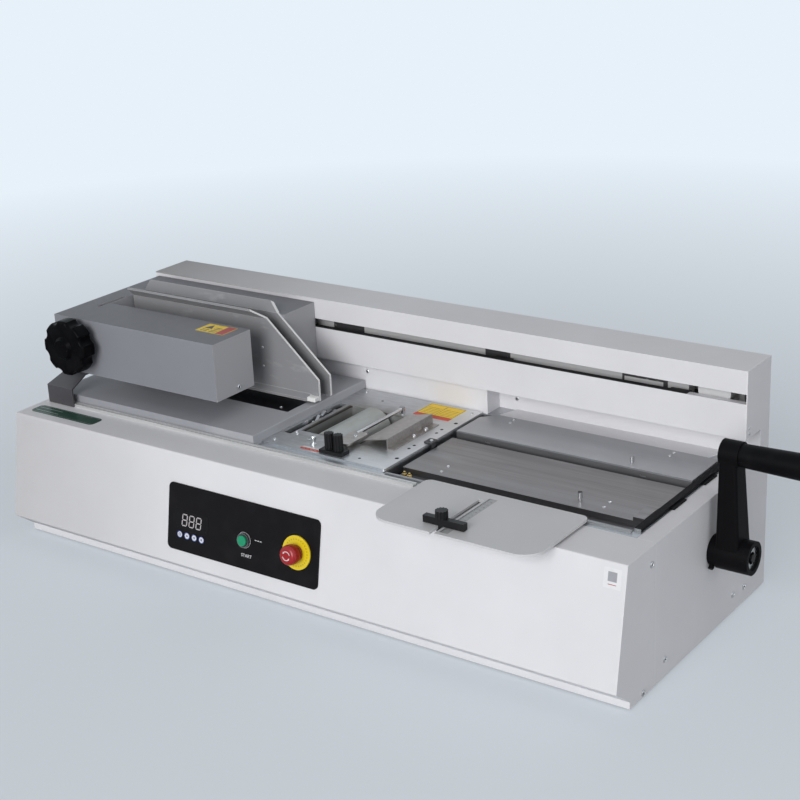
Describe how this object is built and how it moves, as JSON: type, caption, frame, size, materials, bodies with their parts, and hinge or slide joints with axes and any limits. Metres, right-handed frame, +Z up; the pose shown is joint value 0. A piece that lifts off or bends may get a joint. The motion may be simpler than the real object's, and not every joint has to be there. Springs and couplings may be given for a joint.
{
  "type": "desktop thermal book binder",
  "caption": "Desktop hot-melt book binder: clamp carriage on a rear beam, milling cutter, glue roller, lever-lifted nipping table and slanted control panel.",
  "frame": {"origin": "middle of the housing footprint, at the level of the bench it stands on", "axes": "+X along the machine from the clamp end to the lever end, +Y to the back, +Z up"},
  "size_m": [1.364, 0.5237, 0.398],
  "materials": {
    "white_paint": "fine powder coat",
    "grey_paint": "satin paint",
    "light_paint": "satin paint",
    "dark_paint": "satin paint",
    "black_paint": "textured black paint",
    "zinc_steel": "zinc plated, brushed",
    "table_steel": "ground steel",
    "bright_steel": "turned and polished",
    "dark_steel": "blackened",
    "bronze_steel": "bronze-grey coat",
    "bronze": "sintered bronze",
    "aluminium": "anodised",
    "black_plastic": "moulded, satin",
    "panel_black": "printed film",
    "red_plastic": "moulded, gloss",
    "green_plastic": "moulded, gloss",
    "yellow_plastic": "moulded, gloss",
    "board_green": "printed board and steel case",
    "black_rubber": "matt rubber"
  },
  "bodies": {
    "housing": {"adjuster_base": "black_plastic", "base_motors": "dark_steel", "beam_cover": "white_paint", "beam_lower_front": "white_paint", "beam_plate": "zinc_steel", "chassis_plates": "zinc_steel", "control_panel": "panel_black", "deck_plate": "zinc_steel", "drive_belt": "black_rubber", "drive_motor": "dark_steel", "electronics": "board_green", "end_panels": "white_paint", "feed_shelf": "light_paint", "front_cover": "white_paint", "glue_guard": "bronze_steel", "glue_tank": "aluminium", "guide_posts": "bright_steel", "guide_rail": "bright_steel", "jog_plate": "panel_black", "ledge_rail": "aluminium", "left_deck": "grey_paint", "limit_sensors": "black_plastic", "mid_plate": "zinc_steel", "power_inlet": "black_plastic", "rear_cover": "white_paint", "riser_panel": "white_paint", "rubber_pads": "black_rubber", "scraper_bracket": "bronze_steel", "shaft_bearings": "bronze", "switch_bodies": "yellow_plastic", "table_border": "black_paint", "wiper_rod": "bright_steel"},
    "carriage": {"carriage_cover": "grey_paint", "carriage_frame": "zinc_steel", "slide_blocks": "aluminium", "foot_bracket": "dark_paint", "rear_jaw": "grey_paint"},
    "moving_jaw": {"front_jaw": "grey_paint", "jaw_guides": "bright_steel"},
    "clamp_wheel": {"handwheel": "black_plastic", "clamp_screw": "bright_steel"},
    "idler_wheel": {"idler_pulley": "aluminium"},
    "drive_wheel": {"drive_pulley": "aluminium"},
    "cutter": {"milling_cutter": "dark_steel"},
    "roller": {"glue_roller": "bright_steel"},
    "thumb_1": {"thumb_screw_1": "black_plastic"},
    "thumb_2": {"thumb_screw_2": "black_plastic"},
    "table": {"nip_table": "table_steel", "rear_nip_plate": "table_steel"},
    "front_nip": {"front_nip_plate": "table_steel"},
    "lever": {"lever_shaft": "bright_steel", "lever_collar": "black_paint", "lever_arm": "black_paint", "lever_grip": "black_plastic"},
    "start_button": {"start_cap": "green_plastic"},
    "stop_plunger": {"stop_stem": "bright_steel"},
    "stop_mushroom": {"stop_head": "red_plastic"},
    "shelf_slider": {"shelf_stop": "black_plastic"},
    "slider_knob": {"stop_knob": "black_plastic"},
    "rocker": {"power_rocker": "red_plastic"}
  },
  "joints": [
    {"name": "carriage_slide", "type": "slide", "parent": "housing", "child": "carriage", "axis": [1, 0, 0], "range_m": [0, 0.69]},
    {"name": "drive_wheel_turn", "type": "hinge", "parent": "housing", "child": "drive_wheel", "pos_m": [0.54, 0.215, 0.341], "axis": [0, 1, 0], "range_deg": [-5, 1470]},
    {"name": "idler_wheel_turn", "type": "hinge", "parent": "housing", "child": "idler_wheel", "pos_m": [-0.545, 0.215, 0.341], "axis": [0, 1, 0], "range_deg": [-5, 1470]},
    {"name": "clamp_wheel_turn", "type": "hinge", "parent": "carriage", "child": "clamp_wheel", "pos_m": [-0.529, -0.15, 0.338], "axis": [0, 1, 0], "range_deg": [-1620, 1080]},
    {"name": "jaw_slide", "type": "slide", "parent": "carriage", "child": "moving_jaw", "axis": [0, 1, 0], "range_m": [-0.0361, 0.0241]},
    {"name": "cutter_spin", "type": "hinge", "parent": "housing", "child": "cutter", "pos_m": [-0.112, 0.022, 0.174], "axis": [1, 0, 0], "continuous": true},
    {"name": "roller_spin", "type": "hinge", "parent": "housing", "child": "roller", "pos_m": [-0.042, 0.0075, 0.204], "axis": [0, 1, 0], "continuous": true},
    {"name": "thumb_1_turn", "type": "hinge", "parent": "housing", "child": "thumb_1", "pos_m": [0.002, -0.1115, 0.25], "axis": [0, 0, 1], "range_deg": [-360, 360]},
    {"name": "thumb_2_turn", "type": "hinge", "parent": "housing", "child": "thumb_2", "pos_m": [0.02, -0.1115, 0.25], "axis": [0, 0, 1], "range_deg": [-360, 360]},
    {"name": "lever_turn", "type": "hinge", "parent": "housing", "child": "lever", "pos_m": [0.6, 0.038, 0.141], "axis": [1, 0, 0], "range_deg": [0, 90]},
    {"name": "table_lift", "type": "slide", "parent": "housing", "child": "table", "axis": [0, 0, 1], "range_m": [0, 0.01414]},
    {"name": "front_nip_slide", "type": "slide", "parent": "table", "child": "front_nip", "axis": [0, 1, 0], "range_m": [0, 0.00943]},
    {"name": "start_press", "type": "slide", "parent": "housing", "child": "start_button", "axis": [0, 0.9843, -0.1765], "range_m": [0, 0.0025], "stiffness_N_per_m": 500},
    {"name": "stop_press", "type": "slide", "parent": "housing", "child": "stop_plunger", "axis": [0, 0.9843, -0.1765], "range_m": [0, 0.004]},
    {"name": "stop_twist", "type": "hinge", "parent": "stop_plunger", "child": "stop_mushroom", "pos_m": [0.037, -0.2691, 0.12326], "axis": [0, 0.9843, -0.1765], "range_deg": [0, 30], "stiffness_Nm_per_rad": 0.05},
    {"name": "shelf_stop_slide", "type": "slide", "parent": "housing", "child": "shelf_slider", "axis": [0, 1, 0], "range_m": [0, 0.095]},
    {"name": "stop_knob_turn", "type": "hinge", "parent": "shelf_slider", "child": "slider_knob", "pos_m": [0.321, -0.263, 0.255], "axis": [0, 0, 1], "range_deg": [-180, 180]},
    {"name": "power_rock", "type": "hinge", "parent": "housing", "child": "rocker", "pos_m": [0.43, 0.229, 0.078], "axis": [1, 0, 0], "range_deg": [0, 12]}
  ],
  "couplings": [
    {"joint": "drive_wheel_turn", "follows": "carriage_slide", "rad_per_m": 37.037},
    {"joint": "idler_wheel_turn", "follows": "carriage_slide", "rad_per_m": 37.037},
    {"joint": "jaw_slide", "follows": "clamp_wheel_turn", "m_per_rad": 0.0012732},
    {"joint": "table_lift", "follows": "lever_turn", "m_per_rad": 0.009},
    {"joint": "front_nip_slide", "follows": "lever_turn", "m_per_rad": 0.006}
  ]
}
